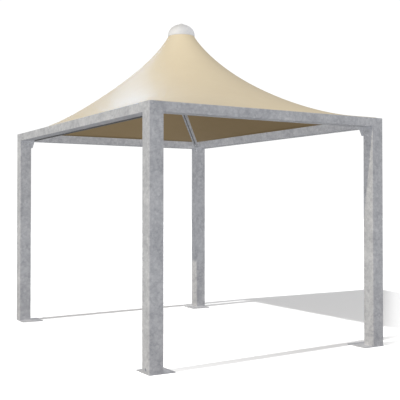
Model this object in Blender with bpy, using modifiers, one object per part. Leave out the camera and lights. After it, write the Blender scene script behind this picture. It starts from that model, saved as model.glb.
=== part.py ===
"""Garden gazebo: a galvanised steel frame on four posts under a stretched cone canopy.

The ground is z = 0 and the plan's centre is the origin. X runs along the short front, Y goes back along
the long side. All sizes are in metres.
"""
import math

import bmesh
import bpy
import numpy as np
from mathutils import Matrix, Vector

# Overall sizes
FRAME_WIDTH = 3.0
FRAME_LENGTH = 4.1
FRAME_HEIGHT = 2.61
GAP = 0.0003
ROLL_SEGMENTS = 3
ROUND_STEPS = 48
TUBE_STEPS = 40
HOLE_STEPS = 24
SHARP_FROM = math.radians(32)
CUT_BEYOND = 0.1
SAME_POINT = 0.00002

# Posts and foot plates
POST_SIDE = 0.152
POST_WALL = 0.005
POST_LID = 0.006
TUBE_RADIUS = 0.003
PLATE_SIDE = 0.285
PLATE_THICK = 0.010
ANCHOR_INSET = 0.036
ANCHOR_RADIUS = 0.009
DRAIN_RADIUS = 0.018
DRAIN_HEIGHT = 0.042

# Beams and the flat rails that hold the fabric on them
BEAM_DEPTH = 0.100
BEAM_WALL = 0.004
RAIL_INSET = 0.046
RAIL_WIDTH = 0.040
RAIL_THICK = 0.008

# Corner brackets: an angle on the post with a fin towards the centre
WING_WIDTH = 0.130
WING_THICK = 0.006
WING_DROP = 0.098
FIN_THICK = 0.008
FIN_REACH = 0.055
FIN_FOOT = 0.020
FIN_TONGUE = 0.150
FIN_ROOT = 0.004
FIN_CLEAR = 0.008
FIN_RELIEF = 0.010
FIN_LIP = 0.002

# Arms: folded channels, open below
ARM_WIDTH = 0.055
ARM_DEPTH = 0.050
ARM_WALL = 0.004
ARM_FOLD = 0.006
ARM_LOW = 2.512
ARM_HIGH = 2.857
ARM_START = 0.045
ARM_END = 0.070

# Hub, mast, crown and cap
HUB_RADIUS = 0.050
HUB_WALL = 0.008
HUB_FLOOR = 0.008
HUB_BOTTOM = 2.800
HUB_TOP = 2.980
HUB_FIN = 0.200
HUB_FIN_DROP = 0.012
HUB_FIN_RISE = 0.006
MAST_RADIUS = 0.038
MAST_WALL = 0.005
CROWN_RADIUS = 0.1618
CROWN_WALL = 0.008
CROWN_DISC = 3.742
CROWN_LOW = 3.735
CROWN_TOP = 3.790
SOCKET_CLEAR = 0.0005
SOCKET_DEPTH = 0.045
STUD_RADIUS = 0.008
CAP_RADIUS = 0.171
CAP_WALL = 0.003
CAP_LOW = 3.776
CAP_SPRING = 3.790
CAP_TOP = 3.928
CAP_STEPS = 12
BUTTON_RADIUS = 0.026
BUTTON_TOP = 3.940
BUTTON_ROLL = 0.005

# Canopy
CANOPY_THICK = 0.004
CANOPY_INSET = 0.050
CANOPY_NECK = 0.1645
CANOPY_PEAK = 3.770
HOOP_SHARE = 0.5
LENGTH_SHARE = 1.4
SPANS_SHORT = 10
SPANS_LONG = 14
RINGS = 14
RING_SPREAD = 1.6

HALF_X = FRAME_WIDTH / 2
HALF_Y = FRAME_LENGTH / 2
BEAM_LOW = FRAME_HEIGHT - BEAM_DEPTH
RAIL_TOP = FRAME_HEIGHT + GAP + RAIL_THICK
INNER_X = HALF_X - POST_SIDE
INNER_Y = HALF_Y - POST_SIDE
CORNER_RUN = math.hypot(INNER_X, INNER_Y)
ARM_SLOPE = (ARM_HIGH - ARM_LOW) / CORNER_RUN
CORNERS = {
    "front_left": (-1, -1),
    "front_right": (1, -1),
    "back_left": (-1, 1),
    "back_right": (1, 1),
}

STEEL = ((0.50, 0.51, 0.52), 0.45, 0.9)
RAIL_METAL = ((0.62, 0.62, 0.62), 0.40, 0.9)
BEIGE_FABRIC = ((0.72, 0.64, 0.50), 0.60, 0.0)
WHITE_PLASTIC = ((0.85, 0.85, 0.84), 0.35, 0.0)


# Scene and helpers

def start_scene():
    """Empty the scene and make one collection for the parts and one for the cutters."""
    for old in list(bpy.data.objects):
        bpy.data.objects.remove(old, do_unlink=True)
    parts = bpy.data.collections.new("garden_gazebo")
    tools = bpy.data.collections.new("cutters")
    bpy.context.scene.collection.children.link(parts)
    bpy.context.scene.collection.children.link(tools)
    return parts, tools


PARTS, TOOLS = start_scene()


def add_object(name, mesh, where=PARTS):
    obj = bpy.data.objects.new(name, mesh)
    where.objects.link(obj)
    if where is TOOLS:
        obj.hide_render = True
        obj.display_type = "WIRE"
    return obj


def paint(obj, finish):
    """Give the object its own Principled material: colour, roughness and metallic value."""
    colour, roughness, metallic = finish
    material = bpy.data.materials.new(obj.name + "_finish")
    material.use_nodes = True
    shader = material.node_tree.nodes["Principled BSDF"]
    shader.inputs["Base Color"].default_value = (*colour, 1.0)
    shader.inputs["Roughness"].default_value = roughness
    shader.inputs["Metallic"].default_value = metallic
    obj.data.materials.clear()
    obj.data.materials.append(material)


def box(name, size, centre, where=PARTS, rounded=None):
    """Box by size and centre. With rounded as an axis number, the edges along it are rolled."""
    mesh = bpy.data.meshes.new(name)
    shape = bmesh.new()
    bmesh.ops.create_cube(shape, size=1.0)
    bmesh.ops.scale(shape, vec=size, verts=shape.verts)
    if rounded is not None:
        along = [edge for edge in shape.edges
                 if abs((edge.verts[0].co - edge.verts[1].co)[rounded]) > size[rounded] / 2]
        bmesh.ops.bevel(shape, geom=along, offset=TUBE_RADIUS, segments=ROLL_SEGMENTS, profile=0.5,
                        affect="EDGES")
    shape.to_mesh(mesh)
    shape.free()
    obj = add_object(name, mesh, where)
    obj.location = centre
    return obj


def drill(name, radius, length, centre, axis):
    """Round cutter by radius, length, centre and the axis that it lies along."""
    mesh = bpy.data.meshes.new(name)
    shape = bmesh.new()
    turn = Vector((0, 0, 1)).rotation_difference(Vector(axis)).to_matrix().to_4x4()
    bmesh.ops.create_cone(shape, cap_ends=True, segments=HOLE_STEPS, radius1=radius, radius2=radius,
                          depth=length, matrix=turn)
    shape.to_mesh(mesh)
    shape.free()
    cutter = add_object(name, mesh, TOOLS)
    cutter.location = centre
    return cutter


def combine(target, tool, operation):
    change = target.modifiers.new(tool.name, "BOOLEAN")
    change.operation = operation
    change.solver = "EXACT"
    change.object = tool


def settle(obj):
    """Put the modifiers' result in the object's own mesh and shade its round faces smooth."""
    bpy.context.view_layer.update()
    mesh = bpy.data.meshes.new_from_object(obj.evaluated_get(bpy.context.evaluated_depsgraph_get()))
    obj.modifiers.clear()
    obj.data = mesh
    mesh.shade_smooth()
    mesh.set_sharp_from_angle(angle=SHARP_FROM)


def turned(name, profile, steps=ROUND_STEPS):
    """Solid of revolution about Z. The profile runs from its top down the outer side and back."""
    mesh = bpy.data.meshes.new(name)
    closed = min(radius for radius, _ in profile) > 0
    edges = [(i, i + 1) for i in range(len(profile) - 1)]
    if closed:
        edges.append((len(profile) - 1, 0))
    mesh.from_pydata([(radius, 0, height) for radius, height in profile], edges, [])
    obj = add_object(name, mesh)
    screw = obj.modifiers.new("Turn", "SCREW")
    screw.axis = "Z"
    screw.steps = steps
    screw.render_steps = steps
    screw.use_merge_vertices = True
    screw.merge_threshold = SAME_POINT
    return obj


def plate(name, outline, thickness, where=PARTS):
    """Flat plate from an outline in its own XY plane, centred on that plane."""
    curve = bpy.data.curves.new(name, "CURVE")
    curve.dimensions = "2D"
    curve.fill_mode = "BOTH"
    curve.extrude = thickness / 2
    spline = curve.splines.new("POLY")
    spline.points.add(len(outline) - 1)
    for point, (u, v) in zip(spline.points, outline):
        point.co = (u, v, 0, 1)
    spline.use_cyclic_u = True
    source = bpy.data.objects.new(name + "_curve", curve)
    TOOLS.objects.link(source)
    bpy.context.view_layer.update()
    mesh = bpy.data.meshes.new_from_object(source.evaluated_get(bpy.context.evaluated_depsgraph_get()))
    shape = bmesh.new()
    shape.from_mesh(mesh)
    bmesh.ops.remove_doubles(shape, verts=shape.verts, dist=SAME_POINT)
    bmesh.ops.recalc_face_normals(shape, faces=shape.faces)
    shape.to_mesh(mesh)
    shape.free()
    bpy.data.objects.remove(source, do_unlink=True)
    return add_object(name, mesh, where)


def upright(direction, origin):
    """Frame whose X points along a level direction, whose Y is up and whose Z is across."""
    along = Vector((direction[0], direction[1], 0)).normalized()
    up = Vector((0, 0, 1))
    across = along.cross(up)
    frame = Matrix((along, up, across)).transposed().to_4x4()
    return Matrix.Translation(origin) @ frame


# Posts, foot plates and beams

def make_post(name, sx, sy):
    foot = PLATE_THICK + GAP
    height = FRAME_HEIGHT - foot
    x = sx * (HALF_X - POST_SIDE / 2)
    y = sy * (HALF_Y - POST_SIDE / 2)
    post = box(f"post_{name}", (POST_SIDE, POST_SIDE, height), (x, y, foot + height / 2), rounded=2)
    bore = POST_SIDE - 2 * POST_WALL
    depth = height - POST_LID + CUT_BEYOND
    hollow = box(f"post_{name}_hollow", (bore, bore, depth),
                 (x, y, FRAME_HEIGHT - POST_LID - depth / 2), TOOLS)
    combine(post, hollow, "DIFFERENCE")
    if name == "front_left":
        drain = drill("drain_hole", DRAIN_RADIUS, 4 * POST_WALL, (sx * HALF_X, y, DRAIN_HEIGHT), (1, 0, 0))
        combine(post, drain, "DIFFERENCE")
    paint(post, STEEL)


def make_base_plate(name, sx, sy):
    x = sx * (HALF_X - PLATE_SIDE / 2)
    y = sy * (HALF_Y - PLATE_SIDE / 2)
    foot = box(f"base_plate_{name}", (PLATE_SIDE, PLATE_SIDE, PLATE_THICK), (x, y, PLATE_THICK / 2))
    far = PLATE_SIDE - ANCHOR_INSET
    for number, (u, v) in enumerate(((far, ANCHOR_INSET), (far, far), (ANCHOR_INSET, far))):
        hole = drill(f"anchor_{name}_{number}", ANCHOR_RADIUS, 4 * PLATE_THICK,
                     (sx * (HALF_X - u), sy * (HALF_Y - v), 0), (0, 0, 1))
        combine(foot, hole, "DIFFERENCE")
    paint(foot, STEEL)


def make_beam(name, axis, side):
    """Hollow beam between two posts. Axis 0 runs along X at the front or back, axis 1 along Y."""
    span = (2 * INNER_X, 2 * INNER_Y)[axis] - 2 * GAP
    size = [POST_SIDE, POST_SIDE, BEAM_DEPTH]
    size[axis] = span
    centre = [0, 0, FRAME_HEIGHT - BEAM_DEPTH / 2]
    centre[1 - axis] = side * ((HALF_Y, HALF_X)[axis] - POST_SIDE / 2)
    beam = box(f"beam_{name}", size, centre, rounded=axis)
    bore = [length - 2 * BEAM_WALL for length in size]
    bore[axis] = span + CUT_BEYOND
    combine(beam, box(f"beam_{name}_hollow", bore, centre, TOOLS), "DIFFERENCE")
    paint(beam, STEEL)


def make_edge_rail(name, axis, side):
    """Flat rail on top of a beam; the side rails fit between the front and back ones."""
    half = (HALF_X - RAIL_INSET, HALF_Y - RAIL_INSET - RAIL_WIDTH - GAP)[axis]
    size = [RAIL_WIDTH, RAIL_WIDTH, RAIL_THICK]
    size[axis] = 2 * half
    centre = [0, 0, RAIL_TOP - RAIL_THICK / 2]
    centre[1 - axis] = side * ((HALF_Y, HALF_X)[axis] - RAIL_INSET - RAIL_WIDTH / 2)
    rail = box(f"edge_rail_{name}", size, centre)
    paint(rail, RAIL_METAL)


# Brackets and arms

def make_corner_bracket(name, sx, sy):
    """Angle round the post's inner corner, under the beams, with a fin that the arm sits on."""
    top = BEAM_LOW - GAP
    outer = WING_WIDTH + GAP + WING_THICK
    x = sx * (INNER_X + WING_WIDTH - outer / 2)
    y = sy * (INNER_Y + WING_WIDTH - outer / 2)
    middle = top - WING_DROP / 2
    bracket = box(f"corner_bracket_{name}", (outer, outer, WING_DROP), (x, y, middle))
    room = 2 * POST_SIDE
    post_room = box(f"bracket_room_{name}", (room, room, 2 * WING_DROP),
                    (sx * (INNER_X - GAP + room / 2), sy * (INNER_Y - GAP + room / 2), middle), TOOLS)
    combine(bracket, post_room, "DIFFERENCE")

    under_web = ARM_LOW + ARM_DEPTH - ARM_WALL / math.cos(math.atan(ARM_SLOPE)) - GAP
    foot = top - WING_DROP
    outline = [
        (FIN_ROOT, foot),
        (FIN_FOOT, foot),
        (FIN_REACH, top),
        (FIN_TONGUE, ARM_LOW + ARM_SLOPE * FIN_TONGUE + FIN_ROOT),
        (FIN_TONGUE, under_web + ARM_SLOPE * FIN_TONGUE),
        (ARM_START, under_web + ARM_SLOPE * ARM_START),
        (FIN_CLEAR, under_web - FIN_RELIEF),
        (FIN_CLEAR, top - FIN_LIP),
        (FIN_ROOT, top - FIN_LIP),
    ]
    fin = plate(f"bracket_fin_{name}", outline, FIN_THICK, TOOLS)
    fin.matrix_world = upright((-sx * INNER_X, -sy * INNER_Y), (sx * INNER_X, sy * INNER_Y, 0))
    combine(bracket, fin, "UNION")
    paint(bracket, STEEL)


def make_arm(name, sx, sy):
    """Folded channel, open below, from a corner bracket up to the hub."""
    lean = math.atan(ARM_SLOPE)
    length = (CORNER_RUN - ARM_START - ARM_END) / math.cos(lean)
    half = ARM_WIDTH / 2
    section = [(-half, -ARM_DEPTH), (-half, 0), (half, 0), (half, -ARM_DEPTH)]
    mesh = bpy.data.meshes.new(f"arm_{name}")
    shape = bmesh.new()
    line = [shape.verts.new((0, across, up)) for across, up in section]
    folds = [shape.edges.new(pair) for pair in zip(line, line[1:])]
    pulled = bmesh.ops.extrude_edge_only(shape, edges=folds)
    moved = [item for item in pulled["geom"] if isinstance(item, bmesh.types.BMVert)]
    bmesh.ops.translate(shape, vec=(length, 0, 0), verts=moved)
    shape.faces.ensure_lookup_table()
    for face in shape.faces:
        face.normal_update()
        if face.normal.dot(face.calc_center_median() - Vector((length / 2, 0, -ARM_DEPTH / 2))) < 0:
            face.normal_flip()
    shape.to_mesh(mesh)
    shape.free()
    arm = add_object(f"arm_{name}", mesh)
    fold = arm.modifiers.new("Fold", "BEVEL")
    fold.width = ARM_FOLD
    fold.segments = ROLL_SEGMENTS
    fold.limit_method = "ANGLE"
    sheet = arm.modifiers.new("Sheet", "SOLIDIFY")
    sheet.thickness = ARM_WALL
    sheet.offset = -1
    sheet.use_even_offset = True
    along = Vector((-sx * INNER_X, -sy * INNER_Y, 0)).normalized() * math.cos(lean)
    along.z = math.sin(lean)
    across = Vector((0, 0, 1)).cross(along).normalized()
    up = along.cross(across)
    start = Vector((sx * INNER_X, sy * INNER_Y, 0))
    start += Vector((-sx * INNER_X, -sy * INNER_Y, 0)).normalized() * ARM_START
    start.z = ARM_LOW + ARM_SLOPE * ARM_START + ARM_DEPTH
    arm.matrix_world = Matrix.Translation(start) @ Matrix((along, across, up)).transposed().to_4x4()
    paint(arm, STEEL)


# Hub, mast, crown and cap

def make_hub():
    """Cup for the mast with four fins that reach into the arms' ends."""
    inner = HUB_RADIUS - HUB_WALL
    hub = turned("hub", [
        (0, HUB_BOTTOM + HUB_FLOOR),
        (inner, HUB_BOTTOM + HUB_FLOOR),
        (inner, HUB_TOP),
        (HUB_RADIUS, HUB_TOP),
        (HUB_RADIUS, HUB_BOTTOM),
        (0, HUB_BOTTOM),
    ], TUBE_STEPS)
    under_web = ARM_HIGH + ARM_DEPTH - ARM_WALL / math.cos(math.atan(ARM_SLOPE)) - GAP
    root = HUB_RADIUS - HUB_WALL / 2
    outline = [
        (root, ARM_HIGH - ARM_SLOPE * root - HUB_FIN_DROP),
        (ARM_END, ARM_HIGH - ARM_SLOPE * ARM_END - HUB_FIN_DROP),
        (HUB_FIN, ARM_HIGH - ARM_SLOPE * HUB_FIN + HUB_FIN_RISE),
        (HUB_FIN, under_web - ARM_SLOPE * HUB_FIN),
        (root, under_web - ARM_SLOPE * root),
    ]
    for name, (sx, sy) in CORNERS.items():
        fin = plate(f"hub_fin_{name}", outline, FIN_THICK, TOOLS)
        fin.matrix_world = upright((sx * INNER_X, sy * INNER_Y), (0, 0, 0))
        combine(hub, fin, "UNION")
    settle(hub)
    paint(hub, STEEL)


def make_mast():
    low = HUB_BOTTOM + HUB_FLOOR + GAP
    high = CROWN_DISC - GAP
    mast = turned("mast", [
        (MAST_RADIUS - MAST_WALL, high),
        (MAST_RADIUS, high),
        (MAST_RADIUS, low),
        (MAST_RADIUS - MAST_WALL, low),
    ], TUBE_STEPS)
    settle(mast)
    paint(mast, STEEL)


def cap_height(radius, wall=0.0):
    """Height of the cap's dome, or of its inner face, at a radius."""
    share = min(radius / (CAP_RADIUS - wall), 1.0)
    return CAP_SPRING + (CAP_TOP - wall - CAP_SPRING) * math.sqrt(1 - share * share)


def cap_rings(radius):
    """Radii of the rings of points on the dome, from its foot towards its top."""
    return [radius * math.cos(math.pi / 2 * step / CAP_STEPS) for step in range(CAP_STEPS)]


def make_crown():
    """Disc on the mast with a rim for the canopy's neck and a stud that holds the cap."""
    disc_top = CROWN_DISC + CROWN_WALL
    rim = CROWN_RADIUS - CROWN_WALL
    last_ring = cap_rings(CAP_RADIUS - CAP_WALL)[-1]
    middle = cap_height(0, CAP_WALL)
    stud_top = middle + (cap_height(last_ring, CAP_WALL) - middle) * STUD_RADIUS / last_ring - GAP
    socket = MAST_RADIUS + SOCKET_CLEAR
    crown = turned("crown", [
        (0, stud_top),
        (STUD_RADIUS, stud_top),
        (STUD_RADIUS, disc_top),
        (rim, disc_top),
        (rim, CROWN_TOP),
        (CROWN_RADIUS, CROWN_TOP),
        (CROWN_RADIUS, CROWN_LOW),
        (rim, CROWN_LOW),
        (rim, CROWN_DISC),
        (socket + CROWN_WALL, CROWN_DISC),
        (socket + CROWN_WALL, CROWN_DISC - SOCKET_DEPTH),
        (socket, CROWN_DISC - SOCKET_DEPTH),
        (socket, CROWN_DISC),
        (0, CROWN_DISC),
    ])
    settle(crown)
    paint(crown, STEEL)


def make_cap():
    """Plastic dome with a small button on top and a short straight skirt."""
    outer = cap_rings(CAP_RADIUS)[::-1]
    inner = cap_rings(CAP_RADIUS - CAP_WALL)
    profile = [(0, BUTTON_TOP), (BUTTON_RADIUS - BUTTON_ROLL, BUTTON_TOP)]
    profile += [(BUTTON_RADIUS, BUTTON_TOP - BUTTON_ROLL), (BUTTON_RADIUS, cap_height(BUTTON_RADIUS))]
    profile += [(radius, cap_height(radius)) for radius in outer if radius > BUTTON_RADIUS + BUTTON_ROLL]
    profile += [(CAP_RADIUS, CAP_LOW), (inner[0], CAP_LOW)]
    profile += [(radius, cap_height(radius, CAP_WALL)) for radius in inner]
    profile += [(0, cap_height(0, CAP_WALL))]
    cap = turned("cap", profile)
    settle(cap)
    paint(cap, WHITE_PLASTIC)


# Canopy

def canopy_edge_points():
    """Points round the canopy's lower edge, evenly spaced on each side and one at each corner."""
    half_x = HALF_X - CANOPY_INSET
    half_y = HALF_Y - CANOPY_INSET
    corners = [(half_x, -half_y), (half_x, half_y), (-half_x, half_y), (-half_x, -half_y)]
    spans = [SPANS_LONG, SPANS_SHORT, SPANS_LONG, SPANS_SHORT]
    points = []
    for number, count in enumerate(spans):
        start = Vector(corners[number])
        end = Vector(corners[(number + 1) % 4])
        points += [start.lerp(end, step / count) for step in range(count)]
    return points


def canopy_plan():
    """Plan position of every grid point: rings from the neck out to the edge, one ray per edge point."""
    rows = []
    for ring in range(RINGS + 1):
        share = (ring / RINGS) ** RING_SPREAD
        rows.append([point.normalized() * (CANOPY_NECK + (point.length - CANOPY_NECK) * share)
                     for point in canopy_edge_points()])
    return np.array([[tuple(point) for point in row] for row in rows])


def canopy_heights(plan):
    """Heights at which the stretched sheet hangs in balance between its neck and its level edge.

    The sheet carries a radial pull that grows towards the neck, which makes the steep cone, and more
    pull along the long side than across it.
    """
    rings, rays = plan.shape[:2]
    points = plan.reshape(-1, 2)
    stiffness = np.zeros((rings * rays, rings * rays))
    for ring in range(rings - 1):
        for ray in range(rays):
            after = (ray + 1) % rays
            a, b = ring * rays + ray, ring * rays + after
            c, d = a + rays, b + rays
            for triangle in ((a, c, d), (a, d, b), (a, c, b), (c, d, b)):
                corners = points[list(triangle)]
                sides = corners[[2, 0, 1]] - corners[[1, 2, 0]]
                double_area = abs(sides[0][0] * sides[1][1] - sides[0][1] * sides[1][0])
                pull = np.linalg.norm(corners.mean(axis=0)) ** (HOOP_SHARE - 1)
                share = np.outer(sides[:, 1], sides[:, 1]) + LENGTH_SHARE * np.outer(sides[:, 0], sides[:, 0])
                stiffness[np.ix_(triangle, triangle)] += pull * share / double_area
    heights = np.full(rings * rays, RAIL_TOP + GAP + CANOPY_THICK / 2)
    heights[:rays] = CANOPY_PEAK
    free = np.arange(rays, (rings - 1) * rays)
    held = np.concatenate([np.arange(rays), np.arange((rings - 1) * rays, rings * rays)])
    load = -stiffness[np.ix_(free, held)] @ heights[held]
    heights[free] = np.linalg.solve(stiffness[np.ix_(free, free)], load)
    return heights.reshape(rings, rays)


def make_canopy():
    plan = canopy_plan()
    heights = canopy_heights(plan)
    rings, rays = heights.shape
    points = [(*plan[ring][ray], heights[ring][ray]) for ring in range(rings) for ray in range(rays)]
    faces = []
    for ring in range(rings - 1):
        for ray in range(rays):
            after = (ray + 1) % rays
            a, b = ring * rays + ray, ring * rays + after
            faces.append((a, a + rays, b + rays, b))
    mesh = bpy.data.meshes.new("canopy")
    mesh.from_pydata(points, [], faces)
    canopy = add_object("canopy", mesh)
    sheet = canopy.modifiers.new("Sheet", "SOLIDIFY")
    sheet.thickness = CANOPY_THICK
    sheet.offset = 0
    sheet.use_even_offset = True
    settle(canopy)
    paint(canopy, BEIGE_FABRIC)


def make_gazebo():
    for name, (sx, sy) in CORNERS.items():
        make_post(name, sx, sy)
        make_base_plate(name, sx, sy)
        make_corner_bracket(name, sx, sy)
        make_arm(name, sx, sy)
    for name, axis, side in (("front", 0, -1), ("back", 0, 1), ("left", 1, -1), ("right", 1, 1)):
        make_beam(name, axis, side)
        make_edge_rail(name, axis, side)
    make_hub()
    make_mast()
    make_crown()
    make_cap()
    make_canopy()


make_gazebo()
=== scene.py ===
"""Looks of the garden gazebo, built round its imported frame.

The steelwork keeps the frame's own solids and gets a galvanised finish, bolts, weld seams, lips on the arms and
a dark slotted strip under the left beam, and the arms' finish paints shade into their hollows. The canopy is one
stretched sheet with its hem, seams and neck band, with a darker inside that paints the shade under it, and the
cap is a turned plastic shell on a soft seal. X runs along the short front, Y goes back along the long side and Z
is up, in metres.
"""

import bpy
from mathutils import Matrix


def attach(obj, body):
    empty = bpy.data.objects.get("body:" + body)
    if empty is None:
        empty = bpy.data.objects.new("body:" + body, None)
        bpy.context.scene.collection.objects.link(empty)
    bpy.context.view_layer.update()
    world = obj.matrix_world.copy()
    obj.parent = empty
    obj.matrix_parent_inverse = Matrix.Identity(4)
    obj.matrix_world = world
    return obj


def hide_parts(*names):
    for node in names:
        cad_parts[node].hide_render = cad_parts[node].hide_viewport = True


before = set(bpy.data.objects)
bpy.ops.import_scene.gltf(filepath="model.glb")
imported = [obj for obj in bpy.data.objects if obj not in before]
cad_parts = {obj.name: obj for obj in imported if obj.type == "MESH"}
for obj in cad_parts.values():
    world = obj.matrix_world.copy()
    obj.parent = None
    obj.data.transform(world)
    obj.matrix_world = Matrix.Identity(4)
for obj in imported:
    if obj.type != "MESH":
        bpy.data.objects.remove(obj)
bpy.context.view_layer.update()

import logging
import math
from dataclasses import dataclass, field
from enum import Enum
from typing import Sequence

import bmesh
import bpy
import numpy as np
from mathutils import Matrix, Vector

LOG = logging.getLogger("gazebo")
BODY = "root"
UP = Vector((0.0, 0.0, 1.0))

Colour = tuple[float, float, float]
Point = tuple[float, float, float]
Socket = bpy.types.NodeSocket

# Below this radius a point is on the axis, and below this length a path is upright.
ON_AXIS = 1e-6
UPRIGHT = 1e-4
# Smallest distance to divide by, and how close a point is to a side that it is on.
SMALLEST = 1e-9
ON_SIDE = 1e-7
# Where the studio's lamps hang, and the colours of its sky light.
TO_KEY: Point = (-0.845, -0.074, 0.530)
TO_FRONT: Point = (0.30, -0.92, 0.25)
TO_LEFT: Point = (-0.95, 0.0, -0.31)
TO_REAR: Point = (0.70, 0.70, -0.12)
PALE_BLUE: Colour = (0.965, 0.980, 1.0)
LIGHT_BLUE: Colour = (0.96, 0.98, 1.0)


class Corner(Enum):
    """The four corners by name, with the sides of X and Y that they are on."""

    FRONT_LEFT = ("front_left", -1, -1)
    FRONT_RIGHT = ("front_right", 1, -1)
    BACK_LEFT = ("back_left", -1, 1)
    BACK_RIGHT = ("back_right", 1, 1)

    @property
    def label(self) -> str:
        """Name as the frame's nodes spell it."""
        return self.value[0]

    @property
    def sx(self) -> int:
        """Side of X, -1 or 1."""
        return self.value[1]

    @property
    def sy(self) -> int:
        """Side of Y, -1 or 1."""
        return self.value[2]


class Side(Enum):
    """The four sides by name."""

    FRONT = "front"
    BACK = "back"
    LEFT = "left"
    RIGHT = "right"


class Slot(Enum):
    """Material slots of the record."""

    STEEL = "galvanised_steel"
    RAIL = "rail_aluminium"
    FABRIC = "canopy_fabric"
    PLASTIC = "cap_plastic"


class Graph:
    """Builds one material's nodes round its Principled shader."""

    def __init__(self, name: str) -> None:
        """Start a material.

        Args:
            name: The material's name.
        """
        self.material = bpy.data.materials.new(name)
        self.material.use_nodes = True
        self.tree = self.material.node_tree
        self.shader = self.tree.nodes["Principled BSDF"]
        self.place = self.add("ShaderNodeTexCoord").outputs["Object"]

    def add(self, kind: str, inputs: dict | None = None, **settings: object) -> bpy.types.Node:
        """Add a node.

        Args:
            kind: The node's type.
            inputs: Input values or sockets, by the input's name or number.
            settings: The node's own properties.

        Returns:
            The new node.
        """
        node = self.tree.nodes.new(kind)
        for key, value in settings.items():
            setattr(node, key, value)
        for key, value in (inputs or {}).items():
            self.feed(node.inputs[key], value)
        return node

    def feed(self, target: Socket, value: object) -> None:
        """Set an input to a value, or link a socket to it.

        Args:
            target: The input.
            value: A number, a colour or a socket.
        """
        if isinstance(value, bpy.types.NodeSocket):
            self.tree.links.new(value, target)
        elif target.type == "RGBA" and len(value) == 3:
            target.default_value = (*value, 1.0)
        else:
            target.default_value = value

    def sums(self, operation: str, first: object, second: object = 0.0, third: object = 0.0) -> Socket:
        """Output of a Math node with up to three numbers or sockets."""
        return self.add("ShaderNodeMath", {0: first, 1: second, 2: third}, operation=operation).outputs[0]

    def noise(self, scale: float, detail: float = 2.0, rough: float = 0.5,
              place: Socket | None = None) -> Socket:
        """Noise from 0 to 1, given its waves a metre and the number and strength of its finer layers."""
        inputs = {"Vector": place or self.place, "Scale": scale, "Detail": detail, "Roughness": rough}
        return self.add("ShaderNodeTexNoise", inputs).outputs["Fac"]

    def stretch(self, scale: Point) -> Socket:
        """The object's own coordinates, scaled along X, Y and Z."""
        return self.add("ShaderNodeMapping", {"Vector": self.place, "Scale": scale}).outputs["Vector"]

    def cells(self, pattern: bpy.types.Node, channel: int) -> Socket:
        """One channel of a cell pattern's random colours."""
        return self.add("ShaderNodeSeparateColor", {"Color": pattern.outputs["Color"]}).outputs[channel]

    def ramp(self, factor: Socket, stops: Sequence[tuple[float, Colour]]) -> Socket:
        """Colour along a ramp.

        Args:
            factor: Place on the ramp, from 0 to 1.
            stops: Positions and colours.

        Returns:
            The colour.
        """
        node = self.add("ShaderNodeValToRGB", {"Fac": factor})
        elements = node.color_ramp.elements
        while len(elements) < len(stops):
            elements.new(0.5)
        for element, (position, colour) in zip(elements, stops):
            element.position = position
            element.color = (*colour, 1.0)
        return node.outputs["Color"]

    def span(self, value: Socket, low: float, high: float, start: float = 0.0, end: float = 1.0) -> Socket:
        """Value moved from start and end to low and high, and kept between them."""
        inputs = {"Value": value, "From Min": start, "From Max": end, "To Min": low, "To Max": high}
        return self.add("ShaderNodeMapRange", inputs).outputs["Result"]

    def blend(self, factor: object, first: object, second: object, mode: str = "MIX") -> Socket:
        """Mix of two colours.

        Args:
            factor: Share of the second.
            first: First colour or socket.
            second: Second colour or socket.
            mode: How they mix.

        Returns:
            The mixed colour.
        """
        node = self.add("ShaderNodeMix", data_type="RGBA", blend_type=mode)
        for number, value in ((0, factor), (6, first), (7, second)):
            self.feed(node.inputs[number], value)
        return node.outputs[2]

    def relief(self, height: Socket, depth: float, strength: float, under: Socket | None = None) -> Socket:
        """Bumped normal.

        Args:
            height: Height from 0 to 1.
            depth: Height of 1 in metres.
            strength: Share of the bump that shows.
            under: Normal that the bump is laid on.

        Returns:
            The normal.
        """
        inputs = {"Height": height, "Distance": depth, "Strength": strength}
        if under is not None:
            inputs["Normal"] = under
        return self.add("ShaderNodeBump", inputs).outputs["Normal"]

    def finish(self, **inputs: object) -> bpy.types.Material:
        """Set the shader's inputs.

        Args:
            inputs: Values or sockets, with underscores for the spaces in the inputs' names.

        Returns:
            The material.
        """
        for key, value in inputs.items():
            self.feed(self.shader.inputs[key.replace("_", " ").title().replace("Ior", "IOR")], value)
        return self.material


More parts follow.
